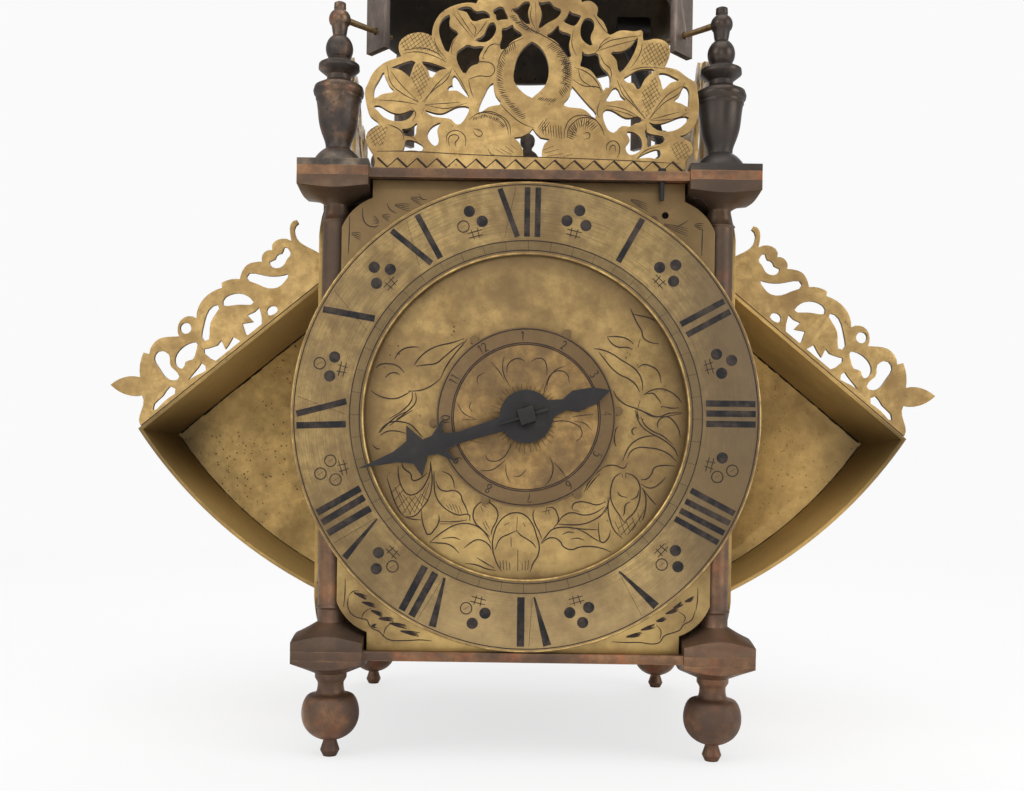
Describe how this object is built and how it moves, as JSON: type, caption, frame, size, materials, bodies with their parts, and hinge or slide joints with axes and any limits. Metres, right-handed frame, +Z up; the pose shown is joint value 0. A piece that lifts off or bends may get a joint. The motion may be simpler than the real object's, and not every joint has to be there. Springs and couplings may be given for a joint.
{
  "type": "lantern clock",
  "caption": "Winged lantern clock: pillared brass frame with engraved dial, pierced frets, strapped bell, hinged side doors, anchor-bob pendulum, and going and striking trains.",
  "frame": {"origin": "on the floor under the middle of the square four-pillar frame", "axes": "+Z up; the dial faces -Y; +X to the viewer's right when the dial is read"},
  "size_m": [0.332, 0.176, 0.3806],
  "materials": {
    "frame_brass": "dark worn bronze-brown brass",
    "dial_brass": "old engraved brass, olive and brown tarnish",
    "ring_brass": "brushed brass with wax-filled numerals",
    "door_brass": "golden sheet brass with dark spots",
    "fret_brass": "pierced and engraved brass",
    "bell_metal": "tarnished bell metal",
    "wheel_brass": "filed brass on steel arbors",
    "bob_brass": "dull brass",
    "iron": "dark forged iron",
    "steel": "worked iron, partly bright"
  },
  "bodies": {
    "frame": {"bottom_plate": "frame_brass", "top_plate": "frame_brass", "feet": "frame_brass", "pillar_front_left": "frame_brass", "pillar_front_right": "frame_brass", "pillar_back_left": "frame_brass", "pillar_back_right": "frame_brass", "finial_front_left": "frame_brass", "finial_front_right": "frame_brass", "finial_back_left": "frame_brass", "finial_back_right": "frame_brass", "dial_plate": "dial_brass", "chapter_ring": "ring_brass", "front_fret": "fret_brass", "left_fret": "fret_brass", "right_fret": "fret_brass", "bell_finial": "fret_brass", "bell": "bell_metal", "bell_strap": "iron", "bell_nut": "iron", "strap_pins": "iron", "dial_pin": "iron", "back_plate": "iron", "back_spurs": "iron", "hanging_hoop": "iron", "bar_wedges": "iron", "hammer_spring": "iron", "front_bar": "steel", "going_rear_bar": "steel", "strike_front_bar": "steel", "rear_bar": "steel", "verge_cock_front": "steel", "verge_cock_rear": "steel"},
    "hour": {"hour_wheel": "wheel_brass", "hour_hand": "iron", "hand_pin": "iron"},
    "alarm": {"alarm_disc": "ring_brass"},
    "going_great": {"great_wheel": "wheel_brass", "going_sprocket": "wheel_brass"},
    "second": {"second_wheel": "wheel_brass"},
    "contrate": {"contrate_wheel": "wheel_brass"},
    "crown": {"crown_wheel": "wheel_brass"},
    "pendulum": {"verge": "steel", "pendulum_rod": "steel", "pendulum_bob": "bob_brass"},
    "strike_great": {"strike_wheel": "wheel_brass", "strike_sprocket": "wheel_brass"},
    "hoop": {"hoop_wheel": "wheel_brass"},
    "warning": {"warning_wheel": "wheel_brass"},
    "fly_arbor": {"fly": "wheel_brass"},
    "count": {"count_wheel": "wheel_brass"},
    "hammer_arbor": {"hammer": "iron"},
    "lifting": {"lifting_piece": "steel"},
    "locking": {"locking_lever": "steel"},
    "left_side_door": {"left_door": "door_brass", "left_wing": "door_brass", "left_wing_fret": "fret_brass"},
    "right_side_door": {"right_door": "door_brass", "right_wing": "door_brass", "right_wing_fret": "fret_brass"}
  },
  "joints": [
    {"name": "going_great_spin", "type": "hinge", "parent": "frame", "child": "going_great", "pos_m": [0, 0, 0.0957], "axis": [0, 1, 0], "continuous": true},
    {"name": "second_spin", "type": "hinge", "parent": "frame", "child": "second", "pos_m": [0, 0, 0.13508], "axis": [0, 1, 0], "continuous": true},
    {"name": "contrate_spin", "type": "hinge", "parent": "frame", "child": "contrate", "pos_m": [0, 0, 0.16937], "axis": [0, 1, 0], "continuous": true},
    {"name": "crown_spin", "type": "hinge", "parent": "frame", "child": "crown", "pos_m": [0, -0.027, 0.2], "axis": [0, 0, 1], "continuous": true},
    {"name": "hour_hand_spin", "type": "hinge", "parent": "frame", "child": "hour", "pos_m": [0, 0, 0.1227], "axis": [0, 1, 0], "continuous": true},
    {"name": "alarm_disc_spin", "type": "hinge", "parent": "hour", "child": "alarm", "pos_m": [0, 0, 0.1227], "axis": [0, 1, 0], "continuous": true},
    {"name": "strike_great_spin", "type": "hinge", "parent": "frame", "child": "strike_great", "pos_m": [0, 0, 0.0957], "axis": [0, 1, 0], "continuous": true},
    {"name": "hoop_spin", "type": "hinge", "parent": "frame", "child": "hoop", "pos_m": [0, 0, 0.13365], "axis": [0, 1, 0], "continuous": true},
    {"name": "warning_spin", "type": "hinge", "parent": "frame", "child": "warning", "pos_m": [0, 0, 0.1647], "axis": [0, 1, 0], "continuous": true},
    {"name": "fly_spin", "type": "hinge", "parent": "frame", "child": "fly_arbor", "pos_m": [0, 0, 0.19275], "axis": [0, 1, 0], "continuous": true},
    {"name": "count_spin", "type": "hinge", "parent": "frame", "child": "count", "pos_m": [0, 0, 0.12365], "axis": [0, 1, 0], "continuous": true},
    {"name": "pendulum_swing", "type": "hinge", "parent": "frame", "child": "pendulum", "pos_m": [0, 0.003, 0.2223], "axis": [0, 1, 0], "range_deg": [-28, 28]},
    {"name": "hammer_lift", "type": "hinge", "parent": "frame", "child": "hammer_arbor", "pos_m": [0.069, 0, 0.165], "axis": [0, 1, 0], "range_deg": [-8, 0], "stiffness_Nm_per_rad": 0.6, "springref_deg": 6.88},
    {"name": "lifting_rise", "type": "hinge", "parent": "frame", "child": "lifting", "pos_m": [-0.069, 0, 0.15], "axis": [0, 1, 0], "range_deg": [-10, 0]},
    {"name": "locking_rise", "type": "hinge", "parent": "frame", "child": "locking", "pos_m": [-0.069, 0, 0.182], "axis": [0, 1, 0], "range_deg": [-8, 0]},
    {"name": "right_door_swing", "type": "hinge", "parent": "frame", "child": "right_side_door", "pos_m": [0.0754, 0.0535, 0.12], "axis": [0, 0, 1], "range_deg": [0, 100]},
    {"name": "left_door_swing", "type": "hinge", "parent": "frame", "child": "left_side_door", "pos_m": [-0.0754, 0.0535, 0.12], "axis": [0, 0, -1], "range_deg": [0, 100]}
  ],
  "couplings": [
    {"joint": "second_spin", "follows": "going_great_spin", "ratio": -8},
    {"joint": "contrate_spin", "follows": "going_great_spin", "ratio": 48},
    {"joint": "crown_spin", "follows": "going_great_spin", "ratio": 288},
    {"joint": "hour_hand_spin", "follows": "going_great_spin", "ratio": -0.083333},
    {"joint": "hoop_spin", "follows": "strike_great_spin", "ratio": -10},
    {"joint": "warning_spin", "follows": "strike_great_spin", "ratio": 80},
    {"joint": "fly_spin", "follows": "strike_great_spin", "ratio": -600},
    {"joint": "count_spin", "follows": "strike_great_spin", "ratio": -0.10256}
  ]
}
